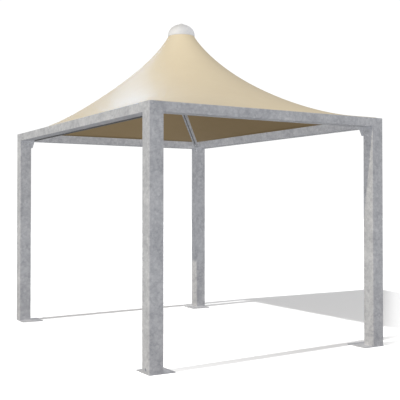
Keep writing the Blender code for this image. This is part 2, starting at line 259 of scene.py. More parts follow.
@dataclass(frozen=True)
class GalvanisedSteel:
    """Hot-dip galvanised steel: small grey crystals, soft blotches, darker towards the ground, and painted shade
    in hollows.
    """

    name: str = "galvanised_steel"
    dark: Colour = (0.226, 0.231, 0.249)
    middle: Colour = (0.337, 0.341, 0.359)
    light: Colour = (0.457, 0.459, 0.471)
    crystal_scale: float = 85.0
    patch_scale: float = 32.0
    cloud_scale: float = 4.5
    warp: float = 0.010
    metallic: float = 0.20
    grain_share: float = 0.20
    blotch_share: float = 0.30
    cloud_share: float = 0.75
    tone_start: float = 0.22
    tone_end: float = 1.02
    rough_low: float = 0.40
    rough_high: float = 0.62
    # Darker towards the ground, fading out at a set height.
    splash_top: float = 0.9
    splash_share: float = 0.55
    splash_tint: Colour = (0.90, 0.875, 0.865)
    # Painted shade: the colour darkens where an occlusion test finds the surface hemmed in, as inside the arms'
    # channels.
    hollow_reach: float = 0.0
    hollow_start: float = 0.30
    hollow_end: float = 0.85
    hollow_dirt: Colour = (0.42, 0.41, 0.39)
    relief_depth: float = 0.0007
    relief_share: float = 0.30

    def make(self) -> bpy.types.Material:
        """Build the finish's nodes.

        Returns:
            The finished material.
        """
        g = Graph(self.name)
        swirl = g.add("ShaderNodeTexNoise", {"Vector": g.place, "Scale": self.patch_scale, "Detail": 2.0})
        moved = g.add("ShaderNodeVectorMath", {0: swirl.outputs["Color"], 1: (self.warp,) * 3, 2: g.place},
                      operation="MULTIPLY_ADD").outputs["Vector"]
        crystals = g.add("ShaderNodeTexVoronoi", {"Vector": moved, "Scale": self.crystal_scale})
        patches = g.add("ShaderNodeTexVoronoi", {"Vector": moved, "Scale": self.patch_scale, "Smoothness": 0.6},
                        feature="SMOOTH_F1")
        grain, blotch = g.cells(crystals, 0), g.cells(patches, 1)
        cloud = g.noise(self.cloud_scale, 4.0, 0.6)
        tone = g.sums("MULTIPLY", cloud, self.cloud_share)
        tone = g.sums("MULTIPLY_ADD", blotch, self.blotch_share, tone)
        tone = g.sums("MULTIPLY_ADD", grain, self.grain_share, tone)
        tone = g.span(tone, 0.0, 1.0, self.tone_start, self.tone_end)
        colour = g.ramp(tone, ((0.0, self.dark), (0.5, self.middle), (1.0, self.light)))
        # Colour grows darker towards the ground.
        height = g.add("ShaderNodeSeparateXYZ", {"Vector": g.place}).outputs["Z"]
        foot_darkening = g.span(height, self.splash_share, 0.0, 0.0, self.splash_top)
        colour = g.blend(foot_darkening, colour, self.splash_tint, "MULTIPLY")
        # Painted shade in hollows, darker the less open the surface is.
        if self.hollow_reach > 0:
            openness = g.add("ShaderNodeAmbientOcclusion", {"Distance": self.hollow_reach}, samples=8)
            hollow_shade = g.span(openness.outputs["AO"], 1.0, 0.0, self.hollow_start, self.hollow_end)
            colour = g.blend(hollow_shade, colour, self.hollow_dirt, "MULTIPLY")
        edge = g.sums("MULTIPLY_ADD", crystals.outputs["Distance"], 0.5, cloud)
        normal = g.relief(edge, self.relief_depth, self.relief_share)
        rough = g.span(tone, self.rough_high, self.rough_low)
        return g.finish(base_color=colour, metallic=self.metallic, roughness=rough, normal=normal)


@dataclass(frozen=True)
class ZincFastener:
    """Zinc plating of bolts, washers and the drain's rim, a little brighter than the steelwork."""

    name: str = "zinc_fastener"
    base: Colour = (0.37, 0.375, 0.385)
    shade: Colour = (0.27, 0.275, 0.285)
    metallic: float = 0.30
    cloud_scale: float = 140.0
    grain_scale: float = 420.0
    grain_depth: float = 0.0003
    rough_low: float = 0.38
    rough_high: float = 0.55

    def make(self) -> bpy.types.Material:
        """Build the finish's nodes.

        Returns:
            The finished material.
        """
        g = Graph(self.name)
        cloud = g.noise(self.cloud_scale, 3.0, 0.6)
        colour = g.ramp(cloud, ((0.30, self.shade), (0.70, self.base)))
        rough = g.span(cloud, self.rough_high, self.rough_low)
        return g.finish(base_color=colour, metallic=self.metallic, roughness=rough,
                        normal=g.relief(g.noise(self.grain_scale, 2.0), self.grain_depth, 0.4))


@dataclass(frozen=True)
class RolledAluminium:
    """Rolled aluminium with fine lines along its length, in its mill finish or a dark tone."""

    name: str = "rolled_aluminium"
    base: Colour = (0.62, 0.62, 0.61)
    shade: Colour = (0.47, 0.47, 0.47)
    metallic: float = 0.85
    cloud_scale: float = 9.0
    line_scale: float = 60.0
    line_squeeze: float = 30.0
    line_depth: float = 0.0002
    rough_low: float = 0.28
    rough_high: float = 0.46

    def make(self) -> bpy.types.Material:
        """Build the finish's nodes.

        Returns:
            The finished material.
        """
        g = Graph(self.name)
        lines = g.noise(self.line_scale, 5.0, 0.7, g.stretch((1.0, 1.0, self.line_squeeze)))
        colour = g.ramp(g.noise(self.cloud_scale, 3.0), ((0.25, self.shade), (0.75, self.base)))
        rough = g.span(lines, self.rough_low, self.rough_high)
        return g.finish(base_color=colour, metallic=self.metallic, roughness=rough,
                        normal=g.relief(lines, self.line_depth, 0.35))


@dataclass(frozen=True)
class CoatedFabric:
    """Coated cloth: a fine weave that shows through a satin coat, slightly slack, with soft stains."""

    name: str
    base: Colour
    stain: Colour
    rough_low: float
    rough_high: float
    coat: float
    coat_roughness: float = 0.37
    weave_scale: float = 105.0
    weave_depth: float = 0.00025
    weave_share: float = 0.30
    stain_scale: float = 1.3
    stain_share: float = 0.65
    streak_scale: float = 7.0
    streak_length: float = 0.25
    streak_share: float = 0.35
    slack_scale: float = 3.2
    slack_depth: float = 0.004
    slack_share: float = 0.35

    def make(self) -> bpy.types.Material:
        """Build the finish's nodes.

        Returns:
            The finished material.
        """
        g = Graph(self.name)
        threads = [g.add("ShaderNodeTexWave", {"Vector": g.place, "Scale": self.weave_scale, "Distortion": 0.4,
                                               "Detail": 1.0}, bands_direction=axis).outputs["Fac"]
                   for axis in ("X", "Y")]
        weave = g.sums("MAXIMUM", *threads)
        cloud = g.noise(self.stain_scale, 5.0, 0.55)
        streak = g.noise(self.streak_scale, 4.0, 0.6, g.stretch((1.0, 1.0, self.streak_length)))
        tone = g.sums("MULTIPLY", cloud, self.stain_share)
        tone = g.sums("MULTIPLY_ADD", streak, self.streak_share, tone)
        colour = g.ramp(tone, ((0.30, self.stain), (0.62, self.base)))
        slack = g.relief(g.noise(self.slack_scale, 2.0, 0.4), self.slack_depth, self.slack_share)
        normal = g.relief(weave, self.weave_depth, self.weave_share, slack)
        rough = g.span(tone, self.rough_high, self.rough_low, 0.3, 0.7)
        return g.finish(base_color=colour, roughness=rough, normal=normal, coat_weight=self.coat,
                        coat_roughness=self.coat_roughness)


@dataclass(frozen=True)
class WhitePlastic:
    """Moulded white plastic, slightly dulled by weather."""

    name: str = "white_plastic"
    base: Colour = (0.474, 0.474, 0.484)
    dull: Colour = (0.446, 0.446, 0.455)
    coat: float = 0.20
    coat_roughness: float = 0.45
    cloud_scale: float = 16.0
    grain_scale: float = 190.0
    grain_depth: float = 0.0004
    rough_low: float = 0.50
    rough_high: float = 0.62

    def make(self) -> bpy.types.Material:
        """Build the finish's nodes.

        Returns:
            The finished material.
        """
        g = Graph(self.name)
        cloud = g.noise(self.cloud_scale, 5.0, 0.6)
        colour = g.ramp(cloud, ((0.35, self.dull), (0.65, self.base)))
        rough = g.span(cloud, self.rough_high, self.rough_low)
        normal = g.relief(g.noise(self.grain_scale, 3.0, 0.6), self.grain_depth, 0.35)
        return g.finish(base_color=colour, roughness=rough, normal=normal, coat_weight=self.coat,
                        coat_roughness=self.coat_roughness)


@dataclass(frozen=True)
class StudioPaper:
    """White paper of the studio floor, with a soft glow past a line on the ground that lifts the far shadow."""

    name: str = "studio_paper"
    base: Colour = (0.90, 0.90, 0.90)
    across: Point = (0.7095, -0.7048, 0.0)
    line: float = 2.590
    before: float = -0.23
    past: float = 0.15
    glow: float = 0.38

    def make(self) -> bpy.types.Material:
        """Build the finish's nodes.

        Returns:
            The finished material.
        """
        g = Graph(self.name)
        reach = g.add("ShaderNodeVectorMath", {0: g.place, 1: self.across}, operation="DOT_PRODUCT")
        inputs = {"Value": reach.outputs["Value"], "From Min": self.line + self.before,
                  "From Max": self.line + self.past, "To Min": 0.0, "To Max": self.glow}
        glow = g.add("ShaderNodeMapRange", inputs, interpolation_type="SMOOTHSTEP").outputs["Result"]
        made = g.finish(base_color=self.base, roughness=0.9, specular_ior_level=0.0,
                        emission_color=(1.0, 1.0, 1.0), emission_strength=glow)
        made.cycles.emission_sampling = "NONE"
        return made


@dataclass(frozen=True)
class Backdrop:
    """Evenly lit white backdrop of the studio."""

    name: str = "studio_backdrop"
    glow: float = 1.05

    def make(self) -> bpy.types.Material:
        """Build the finish's nodes.

        Returns:
            The finished material.
        """
        made = Graph(self.name).finish(base_color=(0.0, 0.0, 0.0), specular_ior_level=0.0,
                                       emission_color=(1.0, 1.0, 1.0), emission_strength=self.glow)
        made.cycles.emission_sampling = "NONE"
        return made


@dataclass
class Palette:
    """Every finish, made once."""

    steel: bpy.types.Material = field(default_factory=GalvanisedSteel().make)
    zinc: bpy.types.Material = field(default_factory=ZincFastener().make)
    # The arms' copy of the steel paints shade into its hollows.
    arm_steel: bpy.types.Material = field(
        default_factory=GalvanisedSteel("arm_steel_painted_shade", hollow_reach=0.07).make)
    rail: bpy.types.Material = field(default_factory=RolledAluminium().make)
    track: bpy.types.Material = field(default_factory=RolledAluminium(
        "dark_aluminium", base=(0.070, 0.068, 0.066), shade=(0.056, 0.054, 0.052), metallic=0.10).make)
    outside: bpy.types.Material = field(default_factory=CoatedFabric(
        "beige_fabric_outside", base=(0.666, 0.563, 0.385), stain=(0.639, 0.535, 0.363),
        rough_low=0.62, rough_high=0.68, coat=0.30).make)
    # The inside copy is much darker than the outside: painted shade under the canopy.
    inside: bpy.types.Material = field(default_factory=CoatedFabric(
        "fabric_inside_painted_shade", base=(0.213, 0.150, 0.070), stain=(0.202, 0.142, 0.065),
        rough_low=0.72, rough_high=0.80, coat=0.0).make)
    plastic: bpy.types.Material = field(default_factory=WhitePlastic().make)


def around(steps: int) -> list[tuple[float, float]]:
    """Cosine and sine at every step round a circle."""
    return [(math.cos(math.tau * k / steps), math.sin(math.tau * k / steps)) for k in range(steps)]


def facing(point: Vector, direction: Vector) -> Matrix:
    """Place something so that its origin is at a point and its own Z points along a direction."""
    return Matrix.Translation(point) @ UP.rotation_difference(direction).to_matrix().to_4x4()


class Workshop:
    """Makes plain meshes and puts them in the scene."""

    @staticmethod
    def piece(name: str, mesh: bpy.types.Mesh | bmesh.types.BMesh, finishes: Sequence[bpy.types.Material],
              slot: Slot | None = None, sharp: float = 35.0) -> bpy.types.Object:
        """Make an object that rides on the frame.

        Args:
            name: The piece's name.
            mesh: Its mesh, in place.
            finishes: Its materials.
            slot: Not used.
            sharp: Angle in degrees from which an edge stays sharp.

        Returns:
            The object.
        """
        if isinstance(mesh, bmesh.types.BMesh):
            made = bpy.data.meshes.new(name)
            mesh.to_mesh(made)
            mesh.free()
            mesh = made
        for finish in finishes:
            mesh.materials.append(finish)
        mesh.shade_smooth()
        mesh.set_sharp_from_angle(angle=math.radians(sharp))
        obj = bpy.data.objects.new(name, mesh)
        bpy.context.scene.collection.objects.link(obj)
        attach(obj, BODY)
        LOG.info("%s: %d faces", name, len(mesh.polygons))
        return obj

    @staticmethod
    def lathe(profile: Sequence[tuple[float, float]], steps: int, shape: bmesh.types.BMesh | None = None,
              placed: Matrix | None = None) -> bmesh.types.BMesh:
        """Turn a profile about Z.

        Args:
            profile: Radius and height pairs, from the top down the outer side and back; closed.
            steps: Faces round it.
            shape: Mesh to add to.
            placed: Where its own axis goes.

        Returns:
            The mesh.
        """
        shape = shape or bmesh.new()
        placed = placed or Matrix.Identity(4)
        rings = []
        for radius, height in profile:
            turns = around(steps)[:1 if radius < ON_AXIS else steps]
            rings.append([shape.verts.new(placed @ Vector((radius * c, radius * s, height))) for c, s in turns])
        for upper, lower in zip(rings, rings[1:] + rings[:1]):
            if len(upper) == 1 and len(lower) == 1:
                continue
            for k in range(steps):
                n = (k + 1) % steps
                corners = (upper[k % len(upper)], lower[k % len(lower)],
                           lower[n % len(lower)], upper[n % len(upper)])
                unique = list(dict.fromkeys(corners))
                if len(unique) > 2:
                    shape.faces.new(unique)
        return shape

    @staticmethod
    def wrap(shape: bmesh.types.BMesh, rings: Sequence[Sequence[bmesh.types.BMVert]],
             closed: bool = False) -> None:
        """Join rings of points with faces.

        Args:
            shape: The rings' mesh.
            rings: Points round each section, the same number in all.
            closed: Whether the last ring joins the first, or else both ends get a face.
        """
        sides = len(rings[0])
        for first, second in list(zip(rings, rings[1:])) + ([(rings[-1], rings[0])] if closed else []):
            for s in range(sides):
                n = (s + 1) % sides
                shape.faces.new((first[s], first[n], second[n], second[s]))
        if not closed:
            shape.faces.new(list(reversed(rings[0])))
            shape.faces.new(rings[-1])

    @staticmethod
    def sweep(path: Sequence[Vector], radii: Sequence[float], sides: int, closed: bool = False,
              shape: bmesh.types.BMesh | None = None) -> bmesh.types.BMesh:
        """Tube along a path.

        Args:
            path: Points of its centreline.
            radii: Its radius at each point.
            sides: Faces round it.
            closed: Whether the last point joins the first.
            shape: Mesh to add to.

        Returns:
            The mesh.
        """
        shape = shape or bmesh.new()
        rings = []
        count = len(path)
        for k, (point, radius) in enumerate(zip(path, radii)):
            before = path[k - 1] if k or closed else path[0]
            after = path[(k + 1) % count] if k < count - 1 or closed else path[-1]
            along = (after - before).normalized()
            across = along.cross(UP)
            across = across.normalized() if across.length > UPRIGHT else Vector((1.0, 0.0, 0.0))
            above = across.cross(along)
            rings.append([shape.verts.new(point + radius * (c * across + s * above)) for c, s in around(sides)])
        Workshop.wrap(shape, rings, closed)
        bmesh.ops.recalc_face_normals(shape, faces=shape.faces)
        return shape

    @staticmethod
    def bar(shape: bmesh.types.BMesh, profile: Sequence[tuple[float, float]], ends: Sequence[Vector],
            across: Vector, above: Vector) -> None:
        """Add a straight bar with the same section all along.

        Args:
            shape: Mesh to add to.
            profile: Corners of the section, across and above.
            ends: Where the section's origin starts and ends.
            across: Direction of the section's first axis.
            above: Direction of its second axis.
        """
        rings = [[shape.verts.new(end + across * a + above * u) for a, u in profile] for end in ends]
        Workshop.wrap(shape, rings)
        bmesh.ops.recalc_face_normals(shape, faces=shape.faces)


@dataclass
class Bolt:
    """Hex bolt head on a round washer."""

    across: float = 0.0185
    height: float = 0.0075
    washer_radius: float = 0.0135
    washer_height: float = 0.0025
    washer_steps: int = 20
    chamfer: float = 0.0012
    sides: int = 6

    def add_to(self, shape: bmesh.types.BMesh, placed: Matrix) -> None:
        """Add one bolt to a mesh.

        Args:
            shape: The mesh.
            placed: Its seat's place, with Z out of the surface.
        """
        rim = self.washer_height
        edge = self.chamfer / 3
        Workshop.lathe(((0, rim), (self.washer_radius - edge, rim), (self.washer_radius, rim - edge),
                        (self.washer_radius, 0), (0, 0)), self.washer_steps, shape, placed)
        radius = self.across / 2 / math.cos(math.pi / self.sides)
        top = rim + self.height
        levels = ((radius, rim), (radius, top - self.chamfer), (radius - self.chamfer, top))
        rings = [[shape.verts.new(placed @ Vector((r * c, r * s, z))) for c, s in around(self.sides)]
                 for r, z in levels]
        Workshop.wrap(shape, rings)


@dataclass
class WeldSeam:
    """Rippled bead of weld metal."""

    radius: float = 0.0034
    pitch: float = 0.0045
    ripple: float = 0.18
    sway: float = 0.7
    sway_rate: float = 0.21
    steps: int = 3
    sides: int = 8

    def add_to(self, shape: bmesh.types.BMesh, points: Sequence[Vector], closed: bool = False) -> None:
        """Add a bead along a line.

        Args:
            shape: The mesh.
            points: The line's corners.
            closed: Whether the line closes on itself.
        """
        path: list[Vector] = []
        ends = list(points) + ([points[0]] if closed else [])
        for start, end in zip(ends, ends[1:]):
            count = max(2, round((end - start).length / (self.pitch / self.steps)))
            path += [start.lerp(end, k / count) for k in range(count)]
        if not closed:
            path.append(ends[-1])
        waves = [math.tau * k / self.steps + self.sway * math.sin(k * self.sway_rate) for k in range(len(path))]
        radii = [self.radius * (1 + self.ripple * math.sin(wave)) for wave in waves]
        Workshop.sweep(path, radii, self.sides, closed, shape)


@dataclass
class Frame:
    """Posts, foot plates, beams, brackets, arms, hub and mast: the frame's own solids with their finish."""

    palette: Palette
    half_x: float = 1.5
    half_y: float = 2.05
    post_side: float = 0.152
    beam_low: float = 2.510
    plate_thick: float = 0.010
    wing_thick: float = 0.0063
    wing_drop: float = 0.098
    wing_bolts: tuple[float, ...] = (0.024, 0.082)
    wing_bolt_drop: float = 0.047
    arm_low: float = 2.512
    arm_high: float = 2.857
    arm_width: float = 0.055
    arm_depth: float = 0.050
    arm_wall: float = 0.004
    arm_start: float = 0.045
    arm_end: float = 0.070
    arm_slot: float = 0.016
    arm_bolts_low: tuple[float, ...] = (0.085, 0.125)
    arm_bolts_high: tuple[float, ...] = (0.165, 0.110)
    arm_bolt_level: float = 0.45
    lip_thick: float = 0.0035
    lip_height: float = 0.009
    lip_bend: float = 0.0015
    lip_low: float = 0.0003
    lip_gap: float = 0.0002
    lip_end: float = 0.001
    track_width: float = 0.014
    track_height: float = 0.013
    track_wall: float = 0.0018
    track_slot: float = 0.004
    track_end: float = 0.178
    track_gap: float = 0.0002
    track_set: float = 0.001
    hub_radius: float = 0.050
    hub_top: float = 2.980
    mast_radius: float = 0.038
    mast_steps: int = 48
    weld_sink: float = 0.001
    foot_weld_end: float = 0.012
    fin_sink: float = 0.0005
    wing_fin_half: float = 0.0055
    wing_fin_end: float = 0.006
    hub_fin_half: float = 0.0050
    hub_fin_span: tuple[float, ...] = (-0.012, 0.034)
    drain_height: float = 0.042
    drain_profile: tuple[tuple[float, float], ...] = (
        (0.0179, 0.0), (0.0179, -0.0052), (0.0166, -0.0052), (0.0166, -0.0006), (0.0171, 0.0))
    drain_inside: float = 0.0002
    drain_steps: int = 40
    steel_edge: float = 0.0012
    rail_edge: float = 0.0010
    edge_angle: float = 50.0
    join_gap: float = 0.00003

    @property
    def inner_x(self) -> float:
        """Where the posts' inner faces are along X."""
        return self.half_x - self.post_side

    @property
    def inner_y(self) -> float:
        """Where the posts' inner faces are along Y."""
        return self.half_y - self.post_side

    @property
    def run(self) -> float:
        """Level length from a post's inner corner to the middle."""
        return math.hypot(self.inner_x, self.inner_y)

    @property
    def slope(self) -> float:
        """Rise of an arm for each metre of level run."""
        return (self.arm_high - self.arm_low) / self.run

    def inward(self, corner: Corner) -> Vector:
        """Level unit direction from a corner to the middle."""
        return Vector((-corner.sx * self.inner_x, -corner.sy * self.inner_y, 0.0)).normalized()

    def dress(self) -> None:
        """Give every steel node its finish and soft edges."""
        kinds = ("post", "base_plate", "corner_bracket", "arm")
        names = [f"{kind}_{corner.label}" for kind in kinds for corner in Corner]
        names += [f"beam_{side.value}" for side in Side] + ["hub", "mast", "crown"]
        for name in names:
            finish = self.palette.arm_steel if name.startswith("arm_") else self.palette.steel
            self.soften(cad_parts[name], finish, self.steel_edge)
        for side in Side:
            self.soften(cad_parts[f"edge_rail_{side.value}"], self.palette.rail, self.rail_edge)
        LOG.info("frame: %d nodes dressed", len(names) + len(Side))

    def soften(self, node: bpy.types.Object, finish: bpy.types.Material, width: float) -> None:
        """Weld a node's shared points, round its edges and give it a finish.

        Args:
            node: The frame's object.
            finish: Its material.
            width: Width of the rounded edges.
        """
        weld = node.modifiers.new("Joined", "WELD")
        weld.merge_threshold = self.join_gap
        rounded = node.modifiers.new("Rounded", "BEVEL")
        rounded.width = width
        rounded.segments = 2
        rounded.limit_method = "ANGLE"
        rounded.angle_limit = math.radians(self.edge_angle)
        shaded = node.modifiers.new("Shaded", "WEIGHTED_NORMAL")
        shaded.keep_sharp = False
        node.data.shade_smooth()
        for slot in node.material_slots:
            slot.material = finish

    def bolts(self) -> None:
        """Bolts of the brackets, of the arms' low ends and of the hub."""
        shape = bmesh.new()
        wide = Bolt()
        slim = Bolt(across=0.0155, height=0.0065, washer_radius=0.0110)
        for corner in Corner:
            x, y = corner.sx * self.inner_x, corner.sy * self.inner_y
            height = self.beam_low - self.wing_bolt_drop
            for reach in self.wing_bolts:
                seat = Vector((x - corner.sx * self.wing_thick, y + corner.sy * reach, height))
                wide.add_to(shape, facing(seat, Vector((-corner.sx, 0, 0))))
                seat = Vector((x + corner.sx * reach, y - corner.sy * self.wing_thick, height))
                wide.add_to(shape, facing(seat, Vector((0, -corner.sy, 0))))
            inward = self.inward(corner)
            across = inward.cross(UP)
            for reach in (*self.arm_bolts_low, *(self.run - back for back in self.arm_bolts_high)):
                middle = Vector((x, y, 0)) + inward * reach
                middle.z = self.arm_low + self.slope * reach + self.arm_depth * self.arm_bolt_level
                for hand in (-1, 1):
                    slim.add_to(shape, facing(middle + across * hand * self.arm_width / 2, across * hand))
        Workshop.piece("frame_bolts", shape, [self.palette.zinc], Slot.STEEL)

    def welds(self) -> None:
        """Weld seams at the posts' feet, the bracket fins, the hub's fins and the mast's foot."""
        shape = bmesh.new()
        foot = WeldSeam(radius=0.0045)
        thin = WeldSeam()
        for corner in Corner:
            sx, sy = corner.sx, corner.sy
            top = self.plate_thick + self.weld_sink
            near_x, near_y = self.inner_x - self.weld_sink, self.inner_y - self.weld_sink
            far_x, far_y = self.half_x - self.foot_weld_end, self.half_y - self.foot_weld_end
            line = [Vector((sx * near_x, sy * far_y, top)), Vector((sx * near_x, sy * near_y, top)),
                    Vector((sx * far_x, sy * near_y, top))]
            foot.add_to(shape, line)
            inward = self.inward(corner)
            across = inward.cross(UP)
            root = Vector((sx * (self.inner_x - self.wing_thick), sy * (self.inner_y - self.wing_thick), 0))
            for hand in (-1, 1):
                side = root + across * hand * self.wing_fin_half + inward * self.fin_sink
                thin.add_to(shape, [side + UP * (self.beam_low - self.wing_drop + self.wing_fin_end),
                                    side + UP * (self.beam_low - self.wing_fin_end)])
                side = -inward * (self.hub_radius - self.fin_sink) + across * hand * self.hub_fin_half
                thin.add_to(shape, [side + UP * (self.arm_high + rise) for rise in self.hub_fin_span])
        ring = [Vector((self.mast_radius * math.cos(a), self.mast_radius * math.sin(a), self.hub_top))
                for a in np.linspace(0, math.tau, self.mast_steps, endpoint=False)]
        foot.add_to(shape, ring, closed=True)
        Workshop.piece("weld_seams", shape, [self.palette.steel], Slot.STEEL)

    def arm_lips(self) -> None:
        """Inturned lips that leave a slot along each arm's open underside."""
        shape = bmesh.new()
        inner, outer = self.arm_slot / 2, self.arm_width / 2 - self.arm_wall - self.lip_gap
        low, thick, bend = self.lip_low, self.lip_thick, self.lip_bend
        profile = [(outer, low), (inner + bend, low), (inner, low + bend), (inner, self.lip_height),
                   (inner + thick, self.lip_height), (inner + thick, low + thick), (outer, low + thick)]
        lean = math.atan(self.slope)
        for corner in Corner:
            inward = self.inward(corner)
            along = inward * math.cos(lean) + UP * math.sin(lean)
            across = UP.cross(along).normalized()
            above = along.cross(across)
            start = Vector((corner.sx * self.inner_x, corner.sy * self.inner_y, self.arm_low + self.arm_depth))
            start += inward * self.arm_start + UP * self.slope * self.arm_start - above * self.arm_depth
            length = (self.run - self.arm_start - self.arm_end) / math.cos(lean)
            ends = (start + along * self.lip_end, start + along * (length - self.lip_end))
            for hand in (-1, 1):
                Workshop.bar(shape, profile, ends, across * hand, above)
        Workshop.piece("arm_lips", shape, [self.palette.arm_steel], Slot.STEEL)

    def side_track(self) -> None:
        """Dark slotted strip under the inner edge of the left beam."""
        shape = bmesh.new()
        wide, high, wall = self.track_width, self.track_height, self.track_wall
        left, right = (wide - self.track_slot) / 2, (wide + self.track_slot) / 2
        profile = [(0, 0), (left, 0), (left, wall), (wall, wall), (wall, high - wall),
                   (wide - wall, high - wall), (wide - wall, wall), (right, wall), (right, 0), (wide, 0),
                   (wide, high), (0, high)]
        reach = self.inner_y - self.track_end
        edge, level = -self.inner_x - self.track_set, self.beam_low - high - self.track_gap
        ends = [Vector((edge, y, level)) for y in (-reach, reach)]
        Workshop.bar(shape, profile, ends, Vector((-1, 0, 0)), UP)
        Workshop.piece("side_track", shape, [self.palette.track], Slot.RAIL)

    def drain_rim(self) -> None:
        """Ground rim of the drain hole at the foot of the front left post."""
        seat = Vector((self.drain_inside - self.half_x, self.post_side / 2 - self.half_y, self.drain_height))
        shape = Workshop.lathe(self.drain_profile, self.drain_steps, None, facing(seat, Vector((-1, 0, 0))))
        Workshop.piece("drain_rim", shape, [self.palette.zinc], Slot.STEEL)

    def build(self) -> None:
        """Dress the nodes and add the fasteners and seams."""
        self.dress()
        self.bolts()
        self.welds()
        self.arm_lips()
        self.side_track()
        self.drain_rim()


@dataclass
class StretchedSheet:
    """Shape of cloth that is pulled between a level edge and a raised round neck."""

    half_x: float = 1.45
    half_y: float = 2.0
    neck: float = 0.1645
    edge_height: float = 2.6194
    peak: float = 3.770
    hoop_share: float = 0.5
    length_share: float = 1.4
    spans_x: int = 44
    spans_y: int = 60
    rings: int = 52
    spread: float = 1.6
    passes: int = 1500
    settled: float = 1e-16
    slope_step: float = 0.004
    plan: np.ndarray = field(init=False)
    heights: np.ndarray = field(init=False)

    def __post_init__(self) -> None:
        """Work out the grid and its heights."""
        edge = self._edge()
        length = np.linalg.norm(edge, axis=1)[None, :, None]
        share = ((np.arange(self.rings + 1) / self.rings) ** self.spread)[:, None, None]
        self.plan = edge[None] / length * (self.neck + (length - self.neck) * share)
        self.heights = self._balance()

    @property
    def rays(self) -> int:
        """Number of lines from the neck to the edge."""
        return 2 * (self.spans_x + self.spans_y)

    @property
    def grid(self) -> np.ndarray:
        """The sheet's points in space, by ring and ray."""
        return np.concatenate([self.plan, self.heights[:, :, None]], axis=2)

    def _edge(self) -> np.ndarray:
        """Divide the edge from the front right corner on, anticlockwise from above.

        Returns:
            The edge's points in plan.
        """
        x, y = self.half_x, self.half_y
        corners = np.array([(x, -y), (x, y), (-x, y), (-x, -y), (x, -y)])
        sides = []
        for number, count in enumerate((self.spans_y, self.spans_x) * 2):
            step = (np.arange(count) / count)[:, None]
            sides.append(corners[number] + step * (corners[number + 1] - corners[number]))
        return np.vstack(sides)

    def _balance(self) -> np.ndarray:
        """Find the heights at which every point of the sheet is in balance, by conjugate gradients.

        Returns:
            The heights, by ring and ray.
        """
        rings, rays = self.plan.shape[:2]
        points = self.plan.reshape(-1, 2)
        ring, ray = np.meshgrid(np.arange(rings - 1), np.arange(rays), indexing="ij")
        a = (ring * rays + ray).ravel()
        b = (ring * rays + (ray + 1) % rays).ravel()
        c, d = a + rays, b + rays
        halves = ((a, c, d), (a, d, b), (a, c, b), (c, d, b))
        triangles = np.vstack([np.stack(corners, 1) for corners in halves])
        at = points[triangles]
        sides = at[:, [2, 0, 1]] - at[:, [1, 2, 0]]
        area = np.abs(sides[:, 0, 0] * sides[:, 1, 1] - sides[:, 0, 1] * sides[:, 1, 0])
        pull = np.linalg.norm(at.mean(axis=1), axis=1) ** (self.hoop_share - 1) / area
        stiff = (sides[:, :, None, 1] * sides[:, None, :, 1]
                 + self.length_share * sides[:, :, None, 0] * sides[:, None, :, 0]) * pull[:, None, None]

        def force(level: np.ndarray) -> np.ndarray:
            """Pull on every point at the given heights."""
            local = np.einsum("tij,tj->ti", stiff, level[triangles])
            return np.bincount(triangles.ravel(), local.ravel(), len(points))

        heights = np.full(len(points), self.edge_height)
        heights[:rays] = self.peak
        middle = slice(rays, (rings - 1) * rays)
        scale = np.bincount(triangles.ravel(), np.einsum("tii->ti", stiff).ravel(), len(points))[middle]
        rest = -force(heights)[middle]
        step = rest / scale
        energy = rest @ step
        for _ in range(self.passes):
            whole = np.zeros(len(points))
            whole[middle] = step
            answer = force(whole)[middle]
            move = energy / (step @ answer)
            heights[middle] += move * step
            rest -= move * answer
            ready = rest / scale
            last, energy = energy, rest @ ready
            if energy < self.settled:
                break
            step = ready + energy / last * step
        return heights.reshape(rings, rays)

    def height(self, x: float, y: float) -> float:
        """Height of the sheet over a point of the plan.

        Args:
            x: The point's X.
            y: The point's Y.

        Returns:
            The height.
        """
        length = math.hypot(x, y)
        reach = min(self.half_x / max(abs(x), SMALLEST), self.half_y / max(abs(y), SMALLEST))
        ex, ey = x * reach, y * reach
        if abs(abs(ex) - self.half_x) < ON_SIDE:
            along = (ey + self.half_y) / (2 * self.half_y) * self.spans_y
            ray = along if x > 0 else self.spans_y + self.spans_x + (self.spans_y - along)
        else:
            along = (ex + self.half_x) / (2 * self.half_x) * self.spans_x
            ray = self.spans_y + (self.spans_x - along) if y > 0 else 2 * self.spans_y + self.spans_x + along
        share = (length - self.neck) / (length * reach - self.neck)
        ring = min(max(share, 0.0), 1.0) ** (1 / self.spread) * self.rings
        low_ring, low_ray = min(int(ring), self.rings - 1), int(ray)
        u, v = ring - low_ring, ray - low_ray
        first, second = low_ray % self.rays, (low_ray + 1) % self.rays
        rows = self.heights[low_ring:low_ring + 2]
        return float((1 - u) * ((1 - v) * rows[0, first] + v * rows[0, second])
                     + u * ((1 - v) * rows[1, first] + v * rows[1, second]))

    def point(self, x: float, y: float, lift: float = 0.0) -> Vector:
        """Point on the sheet, or a small distance off it.

        Args:
            x: The point's X in plan.
            y: The point's Y in plan.
            lift: Distance along the sheet's own upward normal.

        Returns:
            The point in space.
        """
        step = self.slope_step
        fall_x = (self.height(x + step, y) - self.height(x - step, y)) / (2 * step)
        fall_y = (self.height(x, y + step) - self.height(x, y - step)) / (2 * step)
        normal = Vector((-fall_x, -fall_y, 1.0)).normalized()
        return Vector((x, y, self.height(x, y))) + normal * lift

    def slant(self, axis: int) -> float:
        """Length over the sheet from edge to edge along an axis through the middle, neck opening left out.

        Args:
            axis: 0 along X, 1 along Y.

        Returns:
            The length.
        """
        half = (self.half_x, self.half_y)[axis]
        spots = np.linspace(self.neck, half, 200)
        levels = [self.height(*((s, 0.0) if axis == 0 else (0.0, s))) for s in spots]
        return 2 * float(np.hypot(np.diff(spots), np.diff(levels)).sum())


